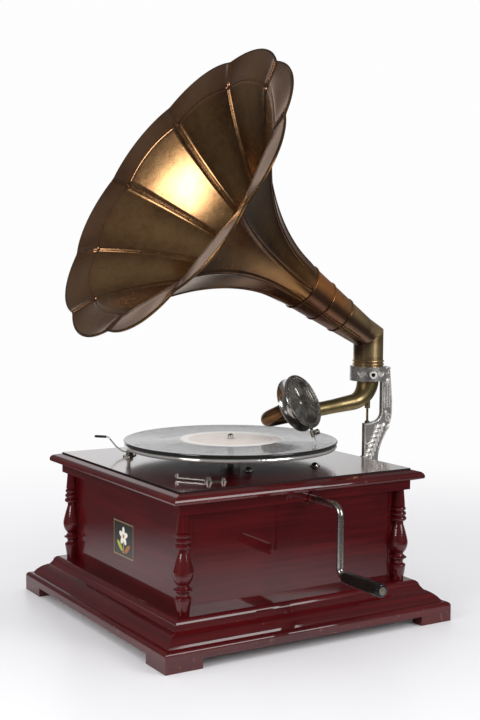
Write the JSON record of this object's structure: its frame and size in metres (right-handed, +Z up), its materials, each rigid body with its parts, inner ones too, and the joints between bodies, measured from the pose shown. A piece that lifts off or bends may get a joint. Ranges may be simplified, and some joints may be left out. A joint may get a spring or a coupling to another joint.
{
  "type": "horn gramophone",
  "caption": "Wind-up tabletop gramophone: square lacquered cabinet with turned corner columns, disc turntable, hand crank, jointed tone arm and a petal-shaped horn on a back bracket.",
  "frame": {"origin": "on the floor under the middle of the object's bounding box", "axes": "+Z up, -Y is the front that the horn opens towards, +X is the side with the winding crank"},
  "size_m": [0.4671, 0.4282, 0.6562],
  "materials": {
    "lacquered_wood": "gloss lacquer",
    "plain_wood": "unfinished",
    "steel": "turned",
    "nickel": "nickel plate",
    "dark_nickel": "darkened plate",
    "brass": "polished",
    "bronzed_sheet": "aged bronze",
    "rubber": "matte",
    "black_enamel": "gloss",
    "black_grip": "gloss",
    "shellac": "grooved",
    "felt": "felt",
    "paper": "matte",
    "mica": "thin sheet"
  },
  "bodies": {
    "cabinet": {"base_rails": "lacquered_wood", "bottom_board": "plain_wood", "corner_feet": "lacquered_wood", "panel_front": "lacquered_wood", "panel_right": "lacquered_wood", "panel_rear": "lacquered_wood", "panel_left": "lacquered_wood", "corner_posts": "plain_wood", "corner_columns": "lacquered_wood", "frieze_rails": "lacquered_wood", "top_moulding": "lacquered_wood", "motor_board": "lacquered_wood", "crank_bush": "black_enamel", "motor_top_plate": "steel", "motor_bottom_plate": "steel", "motor_pillars": "steel", "motor_bolts": "nickel", "motor_washers": "rubber", "speed_plate": "nickel", "brake_foot": "nickel", "back_bracket": "nickel", "bracket_screws": "steel", "pivot_nut": "nickel"},
    "turntable": {"spindle": "steel", "governor_drive_wheel": "brass", "platter": "nickel", "platter_felt": "felt", "record": "shellac", "record_label": "paper"},
    "intermediate": {"intermediate_wheel": "steel"},
    "barrel": {"spring_barrel": "brass", "barrel_cover": "brass", "mainspring": "steel"},
    "governor": {"governor_shaft": "steel", "governor_weights": "brass", "governor_springs": "steel"},
    "crank": {"crank_rod": "nickel"},
    "arbor": {"barrel_arbor": "steel", "crown_wheel": "brass"},
    "grip": {"crank_grip": "black_grip"},
    "regulator": {"regulator_lever": "steel"},
    "speed_control": {"speed_lever": "nickel", "speed_shaft": "steel"},
    "brake": {"brake_lever": "nickel", "brake_pad": "rubber"},
    "arm": {"tone_arm": "brass", "arm_pivot_rod": "brass"},
    "sound_box": {"gooseneck": "brass", "sound_box_shell": "nickel", "sound_box_lid": "dark_nickel", "diaphragm": "mica", "rubber_seals": "rubber", "stylus_bar": "nickel", "needle": "steel"},
    "needle_clamp": {"needle_screw": "nickel"},
    "horn": {"horn_elbow": "bronzed_sheet", "horn_neck": "bronzed_sheet", "horn_petals": "bronzed_sheet"},
    "horn_clamp": {"horn_clamp_screw": "nickel"}
  },
  "joints": [
    {"name": "turntable_spin", "type": "hinge", "parent": "cabinet", "child": "turntable", "pos_m": [-0.04025, -0.0281, 0.1924], "axis": [0, 0, 1], "continuous": true},
    {"name": "intermediate_spin", "type": "hinge", "parent": "cabinet", "child": "intermediate", "pos_m": [-0.02747, 0.00556, 0.092], "axis": [0, 0, 1], "continuous": true},
    {"name": "barrel_spin", "type": "hinge", "parent": "cabinet", "child": "barrel", "pos_m": [0.02175, -0.0127, 0.1], "axis": [0, 0, 1], "continuous": true},
    {"name": "governor_spin", "type": "hinge", "parent": "cabinet", "child": "governor", "pos_m": [-0.03093, -0.06287, 0.15], "axis": [0, 0, 1], "continuous": true},
    {"name": "crank_turn", "type": "hinge", "parent": "cabinet", "child": "crank", "pos_m": [0.10475, -0.0127, 0.153], "axis": [1, 0, 0], "continuous": true},
    {"name": "arbor_spin", "type": "hinge", "parent": "cabinet", "child": "arbor", "pos_m": [0.02175, -0.0127, 0.145], "axis": [0, 0, 1], "continuous": true},
    {"name": "grip_spin", "type": "hinge", "parent": "crank", "child": "grip", "pos_m": [0.19975, -0.0127, 0.079], "axis": [1, 0, 0], "continuous": true},
    {"name": "speed_swing", "type": "hinge", "parent": "cabinet", "child": "speed_control", "pos_m": [0.07575, -0.1251, 0.171], "axis": [0, 0, 1], "range_deg": [-20, 0]},
    {"name": "regulator_swing", "type": "hinge", "parent": "cabinet", "child": "regulator", "pos_m": [0.02175, -0.0801, 0.14], "axis": [0, 0, 1], "range_deg": [-0.5, 5.5]},
    {"name": "brake_swing", "type": "hinge", "parent": "cabinet", "child": "brake", "pos_m": [-0.12566, -0.11937, 0.18], "axis": [0, 0, 1], "range_deg": [0, 25]},
    {"name": "arm_swing", "type": "hinge", "parent": "cabinet", "child": "arm", "pos_m": [-0.04025, 0.1759, 0.262], "axis": [0, 0, 1], "range_deg": [-19, 20]},
    {"name": "sound_box_lift", "type": "hinge", "parent": "arm", "child": "sound_box", "pos_m": [-0.04025, 0.0109, 0.218], "axis": [0, -0.993, -0.1184], "range_deg": [0, 100]},
    {"name": "needle_clamp_turn", "type": "hinge", "parent": "sound_box", "child": "needle_clamp", "pos_m": [0.02924, 0.04316, 0.21076], "axis": [0.8194, 0.3803, 0.4289], "continuous": true},
    {"name": "horn_swivel", "type": "hinge", "parent": "cabinet", "child": "horn", "pos_m": [-0.04025, 0.1759, 0.27], "axis": [0, 0, 1], "continuous": true},
    {"name": "horn_clamp_turn", "type": "hinge", "parent": "cabinet", "child": "horn_clamp", "pos_m": [-0.04025, 0.1759, 0.271], "axis": [0.91, -0.4147, 0], "continuous": true}
  ],
  "couplings": [
    {"joint": "intermediate_spin", "follows": "turntable_spin", "ratio": -0.2},
    {"joint": "barrel_spin", "follows": "turntable_spin", "ratio": 0.033333},
    {"joint": "governor_spin", "follows": "turntable_spin", "ratio": -5},
    {"joint": "arbor_spin", "follows": "crank_turn", "ratio": 0.25},
    {"joint": "regulator_swing", "follows": "speed_swing", "ratio": -0.2487}
  ]
}
